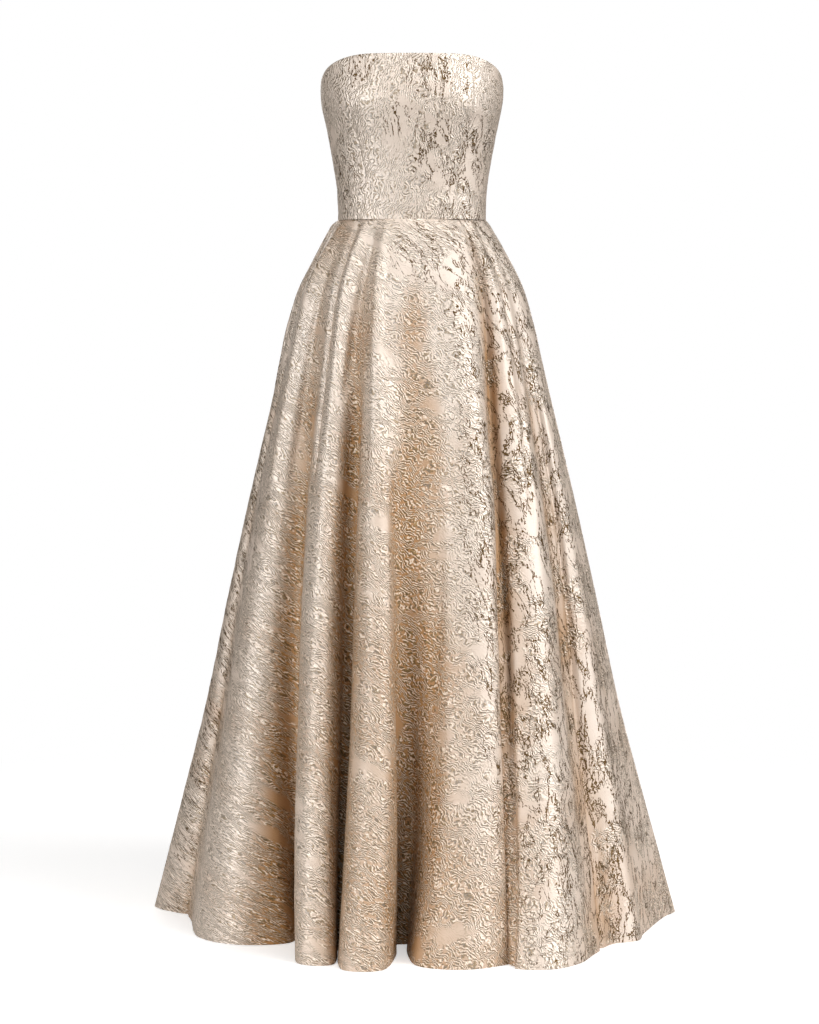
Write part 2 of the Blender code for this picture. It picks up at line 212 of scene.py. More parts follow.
# The squiggles of yarn: lines side by side, pushed about by swirls and wriggles, both counted in lines.
# A width is how far down from the crest of its wave a line reaches.
Squiggle = namedtuple("Squiggle", "lines_per_metre swirl wriggle width")
CRINKLE = Squiggle(212, 9.5, 1.7, 0.60)
CHAIN = Squiggle(190, 6.0, 2.1, 0.78)
REVERSE_FLOATS = Squiggle(260, 2.0, 1.0, 0.80)

# The noises that the cloth's unevenness comes from.
Unevenness = namedtuple("Unevenness", "per_metre detail roughness distortion")
SWIRLS = Unevenness(32, 2, 0.5, 0.0)
WRIGGLES = Unevenness(200, 2, 0.6, 0.0)
CRINKLE_BREAKS = Unevenness(150, 1, 0.6, 0.0)
PLAIN_AREAS = Unevenness(15, 2, 0.6, 0.0)
CHAIN_VEINS = Unevenness(40, 3, 0.6, 0.8)
CHAIN_BREAKS = Unevenness(210, 1, 0.6, 0.0)
MOTTLE = Unevenness(7.5, 2, 0.5, 0.0)
SWELL = Unevenness(60, 2, 0.5, 0.0)
WEAVE = Unevenness(1400, 0, 0.5, 0.0)

# Masks and tints: each goes softly from start to end as what it comes from goes from low to high.
Ramp = namedtuple("Ramp", "low high start end")
CRINKLE_DRAWN = Ramp(0.36, 0.47, 0.0, 1.0)
LIT_EDGE_DRAWN = Ramp(0.20, 0.95, 0.0, 0.85)
SHADED_EDGE_DRAWN = Ramp(-0.40, -0.95, 0.0, 0.95)
CHAIN_DRAWN = Ramp(0.31, 0.40, 0.0, 1.0)
STEM_DRAWN = Ramp(0.27, 0.36, 0.0, 0.5)
CHAIN_OUTLINE = Ramp(0.03, 0.30, 0.0, 1.0)
FOIL_ONSET = Ramp(0.03, 0.15, 0.0, 1.0)
MOTTLE_TINT = Ramp(0.36, 0.64, -0.22, 0.22)
# Gloss falls away where shade is painted.
GLOSS_BY_PAINTED_SHADE = Ramp(0.0, 1.0, 1.0, 0.08)

# Plain satin shows where its noise is below the first level, and crinkle where it is above the second.
# Both levels rise with the foil, and a trace of crinkle stays on the plain satin.
PLAIN_BELOW = 0.28
CRINKLED_ABOVE = 0.42
PLAINER_BY_FOIL = 0.20
CRINKLE_ON_PLAIN = 0.10

# The chains follow veins that are drawn out along the warp. Widths are in steps of the veins' noise.
VEIN_STRETCH = (1.0, 0.42, 1.0)
VEIN_WIDTH = 0.095
STEM_WIDTH = 0.018
LEAST_WIDTH = 0.0005

# How high the yarn stands, and the cloth's puffs, swell and weave as shares of that height.
RELIEF_HEIGHT = 0.00036
PUFF_SHARE = 0.45
SWELL_SHARE = 1.6
WEAVE_SHARE = 0.12

REVERSE_COLOUR = (0.42, 0.32, 0.23, 1)
REVERSE_LEAN = 0.1
REVERSE_ROUGHNESS = 0.6
REVERSE_SHEEN = 0.2
FLOAT_COVER = 0.5
FLOAT_HEIGHT = 0.0004

# Blender's mix node has sockets of every kind, and these are its colour ones.
FIRST_COLOUR = 6
SECOND_COLOUR = 7
MIXED_COLOUR = 2


def new_group(name, inputs, outputs):
    """A shader node group with these sockets, and its input and output nodes."""
    group = bpy.data.node_groups.new(name, "ShaderNodeTree")
    for label, kind in inputs:
        group.interface.new_socket(label, in_out="INPUT", socket_type=kind)
    for label, kind in outputs:
        group.interface.new_socket(label, in_out="OUTPUT", socket_type=kind)
    return group, group.nodes.new("NodeGroupInput"), group.nodes.new("NodeGroupOutput")


def math_node(nodes, links, operation, *values):
    node = nodes.new("ShaderNodeMath")
    node.operation = operation
    for socket, value in zip(node.inputs, values):
        connect(links, value, socket)
    return node.outputs["Value"]


def vector_math(nodes, links, operation, first, second):
    node = nodes.new("ShaderNodeVectorMath")
    node.operation = operation
    connect(links, first, node.inputs[0])
    connect(links, second, node.inputs[1])
    return node.outputs["Value"] if operation == "DOT_PRODUCT" else node.outputs["Vector"]


def noise_value(nodes, links, vector, unevenness):
    node = nodes.new("ShaderNodeTexNoise")
    node.inputs["Scale"].default_value = unevenness.per_metre
    node.inputs["Detail"].default_value = unevenness.detail
    node.inputs["Roughness"].default_value = unevenness.roughness
    node.inputs["Distortion"].default_value = unevenness.distortion
    connect(links, vector, node.inputs["Vector"])
    return node.outputs["Fac"]


def mix_colour(nodes, links, share, first, second):
    node = nodes.new("ShaderNodeMix")
    node.data_type = "RGBA"
    connect(links, share, node.inputs["Factor"])
    connect(links, first, node.inputs[FIRST_COLOUR])
    connect(links, second, node.inputs[SECOND_COLOUR])
    return node.outputs[MIXED_COLOUR]


def squiggle_group():
    """Meandering lines: a comb of even lines on a cloth that is pushed about in swirls and wriggles."""
    group, start, end = new_group(
        "Squiggle lines",
        [
            ("Cloth", "NodeSocketVector"),
            ("Across", "NodeSocketVector"),
            ("Lines per metre", "NodeSocketFloat"),
            ("Swirl", "NodeSocketFloat"),
            ("Wriggle", "NodeSocketFloat"),
            ("Width", "NodeSocketFloat"),
        ],
        [("Line", "NodeSocketFloat"), ("Wave", "NodeSocketFloat"), ("Side", "NodeSocketFloat")],
    )
    nodes, links = group.nodes, group.links
    cloth = start.outputs["Cloth"]
    along = vector_math(nodes, links, "DOT_PRODUCT", cloth, start.outputs["Across"])
    phase = math_node(nodes, links, "MULTIPLY", along, start.outputs["Lines per metre"])
    swirl = noise_value(nodes, links, cloth, SWIRLS)
    phase = math_node(nodes, links, "MULTIPLY_ADD", swirl, start.outputs["Swirl"], phase)
    wriggle = noise_value(nodes, links, cloth, WRIGGLES)
    phase = math_node(nodes, links, "MULTIPLY_ADD", wriggle, start.outputs["Wriggle"], phase)
    turn = math_node(nodes, links, "MULTIPLY", phase, 2 * math.pi)
    low = math_node(nodes, links, "SUBTRACT", 1.0, start.outputs["Width"])
    wave = math_node(nodes, links, "COSINE", turn)
    links.new(smooth_step(nodes, links, wave, low, 1.0), end.inputs["Line"])
    links.new(wave, end.inputs["Wave"])
    links.new(math_node(nodes, links, "SINE", turn), end.inputs["Side"])
    return group


def place_squiggles(nodes, links, cloth, lean, squiggle):
    """Squiggles of one kind, whose run leans from the warp by this angle."""
    node = nodes.new("ShaderNodeGroup")
    node.node_tree = bpy.data.node_groups.get("Squiggle lines") or squiggle_group()
    links.new(cloth, node.inputs["Cloth"])
    node.inputs["Across"].default_value = (math.cos(lean), math.sin(lean), 0)
    node.inputs["Lines per metre"].default_value = squiggle.lines_per_metre
    node.inputs["Swirl"].default_value = squiggle.swirl
    node.inputs["Wriggle"].default_value = squiggle.wriggle
    node.inputs["Width"].default_value = squiggle.width
    return node.outputs["Line"], node.outputs["Wave"], node.outputs["Side"]


def cloth_input(nodes):
    uv = nodes.new("ShaderNodeUVMap")
    uv.uv_map = "cloth"
    return uv.outputs["UV"]


def point_value(nodes, name):
    node = nodes.new("ShaderNodeAttribute")
    node.attribute_name = name
    return node.outputs["Fac"]


def crinkle_yarn(nodes, links, cloth, foil, lean):
    """Where the gold squiggles and their lit and shaded edges lie, the crinkled areas and their puffs."""
    line, wave, side = place_squiggles(nodes, links, cloth, lean, CRINKLE)
    drawn = smooth_step(nodes, links, noise_value(nodes, links, cloth, CRINKLE_BREAKS), *CRINKLE_DRAWN)
    plain = noise_value(nodes, links, cloth, PLAIN_AREAS)
    low = math_node(nodes, links, "MULTIPLY_ADD", foil, PLAINER_BY_FOIL, PLAIN_BELOW)
    high = math_node(nodes, links, "MULTIPLY_ADD", foil, PLAINER_BY_FOIL, CRINKLED_ABOVE)
    crinkled = smooth_step(nodes, links, plain, low, high, CRINKLE_ON_PLAIN, 1.0)
    drawn = math_node(nodes, links, "MULTIPLY", drawn, crinkled)
    yarn = math_node(nodes, links, "MULTIPLY", line, drawn)
    side = math_node(nodes, links, "MULTIPLY", side, drawn)
    lit_edge = smooth_step(nodes, links, side, *LIT_EDGE_DRAWN)
    shaded_edge = smooth_step(nodes, links, side, *SHADED_EDGE_DRAWN)
    puff = math_node(nodes, links, "MULTIPLY", wave, crinkled)
    return yarn, lit_edge, shaded_edge, crinkled, puff


def beside_vein(nodes, links, distance, foil, width):
    """1 on a vein's middle and 0 beyond its width, which grows with the foil."""
    reach = math_node(nodes, links, "MULTIPLY", foil, width)
    reach = math_node(nodes, links, "MAXIMUM", reach, LEAST_WIDTH)
    return smooth_step(nodes, links, distance, reach, 0.0)


def bronze_chains(nodes, links, cloth, foil, lean):
    """Broken bronze squiggles along wandering veins, each vein with a fine stem down its middle."""
    line, _, _ = place_squiggles(nodes, links, cloth, lean, CHAIN)
    leaning = nodes.new("ShaderNodeVectorRotate")
    leaning.rotation_type = "Z_AXIS"
    leaning.inputs["Angle"].default_value = -lean
    links.new(cloth, leaning.inputs["Vector"])
    stretched = vector_math(nodes, links, "MULTIPLY", leaning.outputs["Vector"], VEIN_STRETCH)
    vein = noise_value(nodes, links, stretched, CHAIN_VEINS)
    distance = math_node(nodes, links, "ABSOLUTE", math_node(nodes, links, "SUBTRACT", vein, 0.5))
    vein = beside_vein(nodes, links, distance, foil, VEIN_WIDTH)
    stem = beside_vein(nodes, links, distance, foil, STEM_WIDTH)
    breaks = noise_value(nodes, links, cloth, CHAIN_BREAKS)
    vein = math_node(nodes, links, "MULTIPLY", vein, smooth_step(nodes, links, breaks, *CHAIN_DRAWN))
    stem = math_node(nodes, links, "MULTIPLY", stem, smooth_step(nodes, links, breaks, *STEM_DRAWN))
    chain = math_node(nodes, links, "MULTIPLY", line, vein)
    chain = math_node(nodes, links, "MAXIMUM", chain, stem)
    chain = smooth_step(nodes, links, chain, *CHAIN_OUTLINE)
    return math_node(nodes, links, "MULTIPLY", chain, smooth_step(nodes, links, foil, *FOIL_ONSET))


def raise_relief(nodes, links, shader, relief, height):
    bump = nodes.new("ShaderNodeBump")
    bump.inputs["Distance"].default_value = height
    links.new(relief, bump.inputs["Height"])
    links.new(bump.outputs["Normal"], shader.inputs["Normal"])


def make_brocade(name, lean, chain_lean):
    """The right side of the brocade. The leans are the crinkle's and the bronze chains' from the warp."""
    material, nodes, links, shader = new_material(name)
    cloth = cloth_input(nodes)
    foil = point_value(nodes, "foil")
    # How much shade is painted at each point.
    painted_shade = point_value(nodes, "painted_shade")
    yarn, lit_edge, shaded_edge, crinkled, puff = crinkle_yarn(nodes, links, cloth, foil, lean)
    chain = bronze_chains(nodes, links, cloth, foil, chain_lean)

    # The ground turns from pale to golden brown with the painted shade and with a random mottle.
    mottle = smooth_step(nodes, links, noise_value(nodes, links, cloth, MOTTLE), *MOTTLE_TINT)
    painted_shade_and_mottle = smooth_step(nodes, links, math_node(nodes, links, "ADD", painted_shade, mottle), 0.0, 1.0)
    ground = mix_colour(nodes, links, painted_shade_and_mottle, SATIN_PALE, SATIN_SHADE_AND_MOTTLE)
    ground = mix_colour(nodes, links, shaded_edge, ground, SHADED_EDGE)
    ground = mix_colour(nodes, links, lit_edge, ground, LIT_EDGE)
    gilt = math_node(nodes, links, "MULTIPLY", yarn, GOLD_COVER)
    colour = mix_colour(nodes, links, gilt, ground, YARN_GOLD)
    colour = mix_colour(nodes, links, chain, colour, YARN_BRONZE)
    links.new(colour, shader.inputs["Base Color"])
    shine = math_node(nodes, links, "MULTIPLY", gilt, GOLD_SHINE)
    shine = math_node(nodes, links, "MAXIMUM", shine, chain)
    links.new(shine, shader.inputs["Metallic"])
    roughness = smooth_step(nodes, links, crinkled, 0.0, 1.0, PLAIN_ROUGHNESS, CRINKLED_ROUGHNESS)
    links.new(roughness, shader.inputs["Roughness"])
    gloss = smooth_step(nodes, links, painted_shade, *GLOSS_BY_PAINTED_SHADE)
    links.new(gloss, shader.inputs["Specular IOR Level"])
    shader.inputs["IOR"].default_value = SATIN_IOR
    shader.inputs["Specular Tint"].default_value = SATIN_GLOSS

    relief = math_node(nodes, links, "ADD", yarn, chain)
    relief = math_node(nodes, links, "MULTIPLY_ADD", puff, PUFF_SHARE, relief)
    for unevenness, share in ((SWELL, SWELL_SHARE), (WEAVE, WEAVE_SHARE)):
        height = noise_value(nodes, links, cloth, unevenness)
        relief = math_node(nodes, links, "MULTIPLY_ADD", height, share, relief)
    raise_relief(nodes, links, shader, relief, RELIEF_HEIGHT)
    return material


def make_reverse():
    """The wrong side of the brocade: duller, with the floats of the figure yarn showing."""
    material, nodes, links, shader = new_material("brocade_reverse")
    floats, _, _ = place_squiggles(nodes, links, cloth_input(nodes), REVERSE_LEAN, REVERSE_FLOATS)
    gilt = math_node(nodes, links, "MULTIPLY", floats, FLOAT_COVER)
    links.new(mix_colour(nodes, links, gilt, REVERSE_COLOUR, YARN_GOLD), shader.inputs["Base Color"])
    shader.inputs["Roughness"].default_value = REVERSE_ROUGHNESS
    shader.inputs["Sheen Weight"].default_value = REVERSE_SHEEN
    raise_relief(nodes, links, shader, floats, FLOAT_HEIGHT)
    return material


bodice_brocade = make_brocade("brocade_bodice", math.radians(-14), math.radians(3))
skirt_brocade = make_brocade("brocade_skirt", math.radians(50), math.radians(13))
reverse = make_reverse()

# Bodice panels
# Seven shaped panels of brocade, boned and close fitting, joined by princess, side and side back
# seams and parted by the zip at the centre back. Each is a thin wall whose edges roll into its
# seams, turned in along the neckline.

BODICE_WALL = 0.0020
SEAM_GAP = 0.0001
FRONT_TOP = 0.264
SIDE_DROP = 0.050
BACK_DROP = 0.016
NECK_LEVEL_TO = math.radians(30)
NECK_FALLS_OVER = math.radians(60)
NECK_ROUNDNESS = 2.3

BodiceSection = namedtuple("BodiceSection", "height half_width front back")
BODICE_SECTIONS = (
    BodiceSection(0.000, 0.1215, 0.0880, 0.0760),
    BodiceSection(0.050, 0.1235, 0.0930, 0.0830),
    BodiceSection(0.100, 0.1310, 0.1010, 0.0905),
    BodiceSection(0.150, 0.1405, 0.1110, 0.0965),
    BodiceSection(0.195, 0.1495, 0.1190, 0.0985),
    BodiceSection(0.230, 0.1500, 0.1165, 0.0985),
    BodiceSection(0.270, 0.1480, 0.1110, 0.0985),
)
BODICE_SQUARENESS = 2.25
CUP_DEPTH = 0.0065
CUP_TURN = math.radians(38)
CUP_SPREAD = math.radians(20)
CUP_HEIGHT = 0.185
CUP_RISE = 0.050

PRINCESS_WAIST = math.radians(37.5)
PRINCESS_BUST = math.radians(45.5)
PRINCESS_BUST_HEIGHT = 0.175
SIDE_SEAM = math.radians(90)
BACK_SEAM_WAIST = math.radians(147)
BACK_SEAM_TOP = math.radians(138)
CENTRE_BACK = math.radians(180)

SEAM_DIP = 0.0005
SEAM_SOFTNESS = 0.0016
NECK_DIP = 0.0007
NECK_SOFTNESS = 0.0016
WAIST_SPREAD = 0.0004
WAIST_SOFTNESS = 0.0045
PUCKER_DEPTH = 0.0005
PUCKERS_PER_METRE = 55
FINE_PUCKERS = 2.3
FINE_PUCKER_SHARE = 0.5
PUCKER_SHIFT = 7.3
BODICE_ROWS = 120
INNER_ROW_STEP = 4
SETTLING_ROUNDS = 5


def smooth_through(knots, values, at):
    """A cubic curve through the knots, which must rise."""
    knots = np.asarray(knots, float)
    values = np.asarray(values, float)
    slopes = np.gradient(values, knots)
    at = np.clip(at, knots[0], knots[-1])
    k = np.clip(np.searchsorted(knots, at, side="right") - 1, 0, len(knots) - 2)
    span = knots[k + 1] - knots[k]
    t = (at - knots[k]) / span
    low = (1 + 2 * t) * (1 - t) ** 2 * values[k] + t * (1 - t) ** 2 * span * slopes[k]
    high = t * t * (3 - 2 * t) * values[k + 1] + t * t * (t - 1) * span * slopes[k + 1]
    return low + high


def section_at(sections, height):
    """Half width, front depth and back depth of the table's form at these heights."""
    rising = sorted(sections)
    knots = [section.height for section in rising]
    return [
        smooth_through(knots, [getattr(section, size) for section in rising], height)
        for size in ("half_width", "front", "back")
    ]


def bodice_reach(turn, height):
    """Distance of the bodice's outer face from its axis."""
    half_width, front, back = section_at(BODICE_SECTIONS, height)
    depth = np.where(np.cos(turn) >= 0, front, back)
    n = BODICE_SQUARENESS
    share = (np.abs(np.sin(turn)) / half_width) ** n + (np.abs(np.cos(turn)) / depth) ** n
    around = (np.abs(turn) - CUP_TURN) / CUP_SPREAD
    up = (height - CUP_HEIGHT) / CUP_RISE
    return share ** (-1 / n) + CUP_DEPTH * np.exp(-around * around - up * up)


def bodice_surface(turn, height):
    reach = bodice_reach(turn, height)
    return np.stack([reach * np.sin(turn), -reach * np.cos(turn), height], axis=-1)


def bodice_top(turn):
    """The neckline: nearly level across the front, rounded down to the underarms, lowest at the back."""
    past = np.clip((np.abs(turn) - NECK_LEVEL_TO) / NECK_FALLS_OVER, 0.0, 1.0)
    behind = np.maximum(np.abs(turn) - SIDE_SEAM, 0.0) / SIDE_SEAM
    return FRONT_TOP - SIDE_DROP * past**NECK_ROUNDNESS - BACK_DROP * np.sin(behind * math.pi / 2)


def princess_seam(height):
    share = np.clip(height / PRINCESS_BUST_HEIGHT, 0.0, 1.0)
    return PRINCESS_WAIST + (PRINCESS_BUST - PRINCESS_WAIST) * np.sin(share * math.pi / 2)


def side_seam(height):
    return np.full_like(height, SIDE_SEAM)


def back_seam(height):
    return BACK_SEAM_WAIST + (BACK_SEAM_TOP - BACK_SEAM_WAIST) * height / FRONT_TOP


def centre_back(height):
    return np.full_like(height, CENTRE_BACK)


def mirrored(seam):
    return lambda height: -seam(height)


def grid_normals(points):
    """Outward normals of a grid whose columns run towards the wearer's left and rows run up."""
    along = np.gradient(points, axis=1)
    up = np.gradient(points, axis=0)
    normals = np.cross(along, up)
    return normals / np.linalg.norm(normals, axis=-1, keepdims=True)


def cloth_places(points):
    """Each point's place on the flat cloth: distance round from the middle column, and distance up."""
    round_steps = np.linalg.norm(np.diff(points, axis=1), axis=-1)
    along = np.concatenate([np.zeros((len(points), 1)), np.cumsum(round_steps, axis=1)], axis=1)
    along -= along[:, points.shape[1] // 2][:, None]
    up_steps = np.linalg.norm(np.diff(points, axis=0), axis=-1)
    up = np.concatenate([np.zeros((1, points.shape[1])), np.cumsum(up_steps, axis=0)], axis=0)
    return np.stack([along, up - up[-1:]], axis=-1)


def edge_distance(places):
    """Distance from the panel's two side edges, on the flat cloth."""
    along = places[..., 0]
    return np.minimum(along - along[:, :1], along[:, -1:] - along)


def puckered(places, seed, per_metre):
    """A smooth uneven swell over the cloth, broad and fine, about from -1 to 1."""
    fine = per_metre * FINE_PUCKERS
    swell = [
        noise.noise(Vector((u * per_metre + seed, v * per_metre, seed * PUCKER_SHIFT)))
        + FINE_PUCKER_SHARE * noise.noise(Vector((u * fine, v * fine - seed, seed)))
        for u, v in places.reshape(-1, 2)
    ]
    return np.array(swell).reshape(places.shape[:2])


def wall_faces(rows, columns, inner_rows):
    """Faces of a closed wall: a fine outer grid, an inner one with fewer rows and the rim round both."""
    outer_ids = np.arange(rows * columns).reshape(rows, columns)
    inner_ids = rows * columns + np.arange(inner_rows * columns).reshape(inner_rows, columns)

    def quads(ids):
        corners = (ids[:-1, :-1], ids[:-1, 1:], ids[1:, 1:], ids[1:, :-1])
        return np.stack([corner.ravel() for corner in corners], axis=1)

    rim = []

    def close_edge(fine, coarse, step):
        for k in range(len(coarse) - 1):
            span = fine[k * step : (k + 1) * step + 1]
            rim.append([coarse[k + 1], span[-1], span[-2], coarse[k]])
            for n in range(step - 2, -1, -1):
                rim.append([coarse[k], span[n + 1], span[n]])

    close_edge(outer_ids[0].tolist(), inner_ids[0].tolist(), 1)
    close_edge(outer_ids[:, -1].tolist(), inner_ids[:, -1].tolist(), INNER_ROW_STEP)
    close_edge(outer_ids[-1, ::-1].tolist(), inner_ids[-1, ::-1].tolist(), 1)
    close_edge(outer_ids[::-1, 0].tolist(), inner_ids[::-1, 0].tolist(), INNER_ROW_STEP)
    return quads(outer_ids).tolist(), quads(inner_ids)[:, ::-1].tolist(), rim


# Patches of the cloth, by turn from the centre front and by height: where bronze yarn shows, and
# where golden brown shade is painted on the satin.
Patch = namedtuple("Patch", "turn height turn_spread height_spread strength")
FOIL_PATCHES = (
    Patch(22, 0.235, 20, 0.040, 0.9),
    Patch(-40, 0.240, 10, 0.025, 0.7),
    Patch(-6, 0.150, 14, 0.035, 0.6),
    Patch(18, 0.110, 16, 0.045, 0.9),
    Patch(52, 0.080, 18, 0.070, 0.9),
    Patch(-70, 0.080, 18, 0.060, 0.4),
    Patch(12, -0.050, 26, 0.050, 0.5),
    Patch(35, -0.130, 14, 0.120, 0.8),
    Patch(30, -0.620, 9, 0.300, 0.8),
    Patch(58, -0.350, 22, 0.350, 1.0),
    Patch(58, -0.900, 26, 0.420, 1.0),
    Patch(-88, -0.650, 16, 0.400, 0.6),
    Patch(128, 0.190, 20, 0.060, 0.8),
    Patch(152, 0.060, 18, 0.060, 0.7),
    Patch(206, 0.170, 16, 0.070, 0.9),
    Patch(240, 0.060, 16, 0.050, 0.6),
    Patch(120, -0.300, 22, 0.300, 0.9),
    Patch(138, -0.850, 22, 0.300, 0.9),
    Patch(188, -0.160, 20, 0.140, 0.7),
    Patch(214, -0.600, 18, 0.280, 0.8),
    Patch(242, -0.980, 20, 0.200, 0.8),
)
PAINTED_SHADE_PATCHES = (
    Patch(-70, -0.035, 24, 0.070, 0.55),
    Patch(1, -0.180, 9, 0.080, 0.58),
    Patch(4, -0.330, 12, 0.130, 0.72),
    Patch(-25, -0.170, 5, 0.110, 0.45),
    Patch(44, -0.180, 4, 0.110, 0.55),
    Patch(-58, -0.420, 10, 0.200, 0.30),
    Patch(96, -0.520, 10, 0.200, 0.30),
    Patch(154, -0.260, 10, 0.120, 0.45),
    Patch(196, -0.420, 12, 0.180, 0.45),
    Patch(232, -0.240, 9, 0.110, 0.35),
)
PATCH_SOFTNESS = 0.7
PATCH_POWER = 1.5


def patch_strength(points, patches):
    """How strongly any of the patches shows at each point, fading softly round each one's middle."""
    turn = np.degrees(np.arctan2(points[:, 0], -points[:, 1]))
    strength = np.zeros(len(points))
    for patch in patches:
        around = ((turn - patch.turn + 180) % 360 - 180) / patch.turn_spread
        up = (points[:, 2] - patch.height) / patch.height_spread
        fading = np.exp(-((around**2 + up**2) ** PATCH_POWER) * PATCH_SOFTNESS)
        strength = np.maximum(strength, patch.strength * fading)
    return strength


def mark_wall_edges(mesh, rows, columns, inner_rows):
    """Keep the four cut edges of the wall crisp on both of its sides."""
    outer_side = np.ones((rows, columns), int)
    outer_side[1:-1, 1:-1] = 0
    inner_side = np.full((inner_rows, columns), 2)
    inner_side[1:-1, 1:-1] = 0
    border = np.concatenate([outer_side.ravel(), inner_side.ravel()])
    ends = np.zeros(2 * len(mesh.edges), np.int32)
    mesh.edges.foreach_get("vertices", ends)
    first, second = border[ends].reshape(-1, 2).T
    crisp = (first == second) & (first > 0)
    mesh.attributes.new("sharp_edge", "BOOLEAN", "EDGE").data.foreach_set("value", crisp)


def set_point_values(mesh, name, values):
    mesh.attributes.new(name, "FLOAT", "POINT").data.foreach_set("value", values)


def lay_cloth(mesh, places, grain, uv_shift):
    """The map that the brocade follows, in metres. A grain above 0 moves it off the panel's middle."""
    grained = places.copy()
    grained[..., 0] -= places[:, -1:, 0] * grain
    flat = np.concatenate([grained.reshape(-1, 2), grained[::INNER_ROW_STEP].reshape(-1, 2)])
    corners = np.zeros(len(mesh.loops), np.int32)
    mesh.loops.foreach_get("vertex_index", corners)
    cloth = mesh.uv_layers.new(name="cloth")
    cloth.data.foreach_set("uv", (flat[corners] + np.array(uv_shift)).ravel())


def make_panel(node, outer, wall_thickness, right_side, painted_shade, grain, uv_shift):
    """A cloth panel from its outer grid, laid out with its flat size and standing for its CAD node."""
    rows, columns = outer.shape[:2]
    inner = (outer - wall_thickness * grid_normals(outer))[::INNER_ROW_STEP]
    inner[0, :, 2] = outer[0, :, 2]
    inner[-1, :, 2] = outer[-1, :, 2]
    points = np.concatenate([outer.reshape(-1, 3), inner.reshape(-1, 3)])
    outer_faces, inner_faces, rim_faces = wall_faces(rows, columns, len(inner))
    name = "cloth_" + node
    mesh = bpy.data.meshes.new(name)
    mesh.from_pydata(points.tolist(), [], outer_faces + inner_faces + rim_faces)
    mesh.materials.append(right_side)
    mesh.materials.append(reverse)
    slots = [0] * len(outer_faces) + [1] * len(inner_faces) + [0] * len(rim_faces)
    mesh.polygons.foreach_set("material_index", slots)
    places = cloth_places(outer)
    lay_cloth(mesh, places, grain, uv_shift)
    set_point_values(mesh, "foil", patch_strength(points, FOIL_PATCHES))
    # Each point's painted shade, on the outer grid and the inner grid's rows.
    set_point_values(mesh, "painted_shade", np.concatenate([painted_shade.ravel(), painted_shade[::INNER_ROW_STEP].ravel()]))
    mesh.update()
    mesh.shade_smooth()
    mark_wall_edges(mesh, rows, columns, len(inner))
    piece = bpy.data.objects.new(name, mesh)
    bpy.context.scene.collection.objects.link(piece)
    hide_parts(node)
    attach(piece, "gown")


def bodice_panel(node, first_seam, last_seam, columns, uv_shift):
    """A bodice panel between two seams, from the waist seam to the neckline."""
    across = np.linspace(0, 1, columns + 1)[None, :]
    share = np.linspace(0, 1, BODICE_ROWS + 1)[:, None]
    height = np.full((BODICE_ROWS + 1, columns + 1), SEAM_GAP / 2)
    # Where a seam is depends on the height, and how high the panel goes on its seams, so both settle.
    for _ in range(SETTLING_ROUNDS):
        inset = SEAM_GAP / 2 / bodice_reach(first_seam(height), height)
        first = first_seam(height) + inset
        last = last_seam(height) - inset
        turn = first + (last - first) * across
        height = SEAM_GAP / 2 + (bodice_top(turn) - SEAM_GAP / 2) * share
    outer = bodice_surface(turn, height)
    places = cloth_places(outer)
    near_seam = np.exp(-((edge_distance(places) / SEAM_SOFTNESS) ** 2))
    near_waist = np.exp(-(((places[..., 1] - places[:1, :, 1]) / WAIST_SOFTNESS) ** 2))
    near_top = np.exp(-((places[..., 1] / NECK_SOFTNESS) ** 2))
    pucker = puckered(places, uv_shift[0], PUCKERS_PER_METRE) * PUCKER_DEPTH
    dip = SEAM_DIP * near_seam * (1 - near_waist) + NECK_DIP * near_top - WAIST_SPREAD * near_waist
    away = pucker * (1 - np.maximum(near_seam, near_top)) - dip
    outer = outer + away[..., None] * grid_normals(outer)
    outer[0, :, 2] = SEAM_GAP / 2
    flush = np.zeros(outer.shape[:2])
    # The bodice has no painted shade.
    make_panel(node, outer, BODICE_WALL, bodice_brocade, flush, 0, uv_shift)


bodice_panel("bodice_centre_front", mirrored(princess_seam), princess_seam, 120, (0.0, 0.0))
bodice_panel("bodice_side_front_left", princess_seam, side_seam, 72, (3.1, 0.4))
bodice_panel("bodice_side_front_right", mirrored(side_seam), mirrored(princess_seam), 72, (5.3, 0.9))
bodice_panel("bodice_side_back_left", side_seam, back_seam, 72, (7.7, 1.3))
bodice_panel("bodice_side_back_right", mirrored(back_seam), mirrored(side_seam), 72, (9.2, 1.8))
bodice_panel("bodice_back_left", back_seam, centre_back, 64, (11.4, 2.2))
bodice_panel("bodice_back_right", mirrored(centre_back), mirrored(back_seam), 64, (13.6, 2.7))

# Skirt panels
# One wide front and two backs of brocade, flared and set into the waist seam with unpressed folds that
# open into tubes towards the hem. The side seams and the centre back seam run down crests of the folds.

SKIRT_WALL = 0.0017
SkirtSection = namedtuple("SkirtSection", "height half_width front back")
SKIRT_SECTIONS = (
    SkirtSection(0.000, 0.1225, 0.0890, 0.0770),
    SkirtSection(-0.006, 0.1272, 0.0928, 0.0815),
    SkirtSection(-0.018, 0.1345, 0.1000, 0.0895),
    SkirtSection(-0.035, 0.1450, 0.1090, 0.1000),
    SkirtSection(-0.068, 0.1640, 0.1240, 0.1190),
    SkirtSection(-0.102, 0.1810, 0.1370, 0.1360),
    SkirtSection(-0.168, 0.2015, 0.1560, 0.1620),
    SkirtSection(-0.235, 0.2170, 0.1740, 0.1840),
    SkirtSection(-0.468, 0.2725, 0.2350, 0.2500),
    SkirtSection(-0.635, 0.3100, 0.2790, 0.2960),
    SkirtSection(-0.802, 0.3460, 0.3230, 0.3420),
    SkirtSection(-0.968, 0.3900, 0.3680, 0.3880),
    SkirtSection(HEM, 0.4410, 0.4200, 0.4400),
)
HIP = -0.237

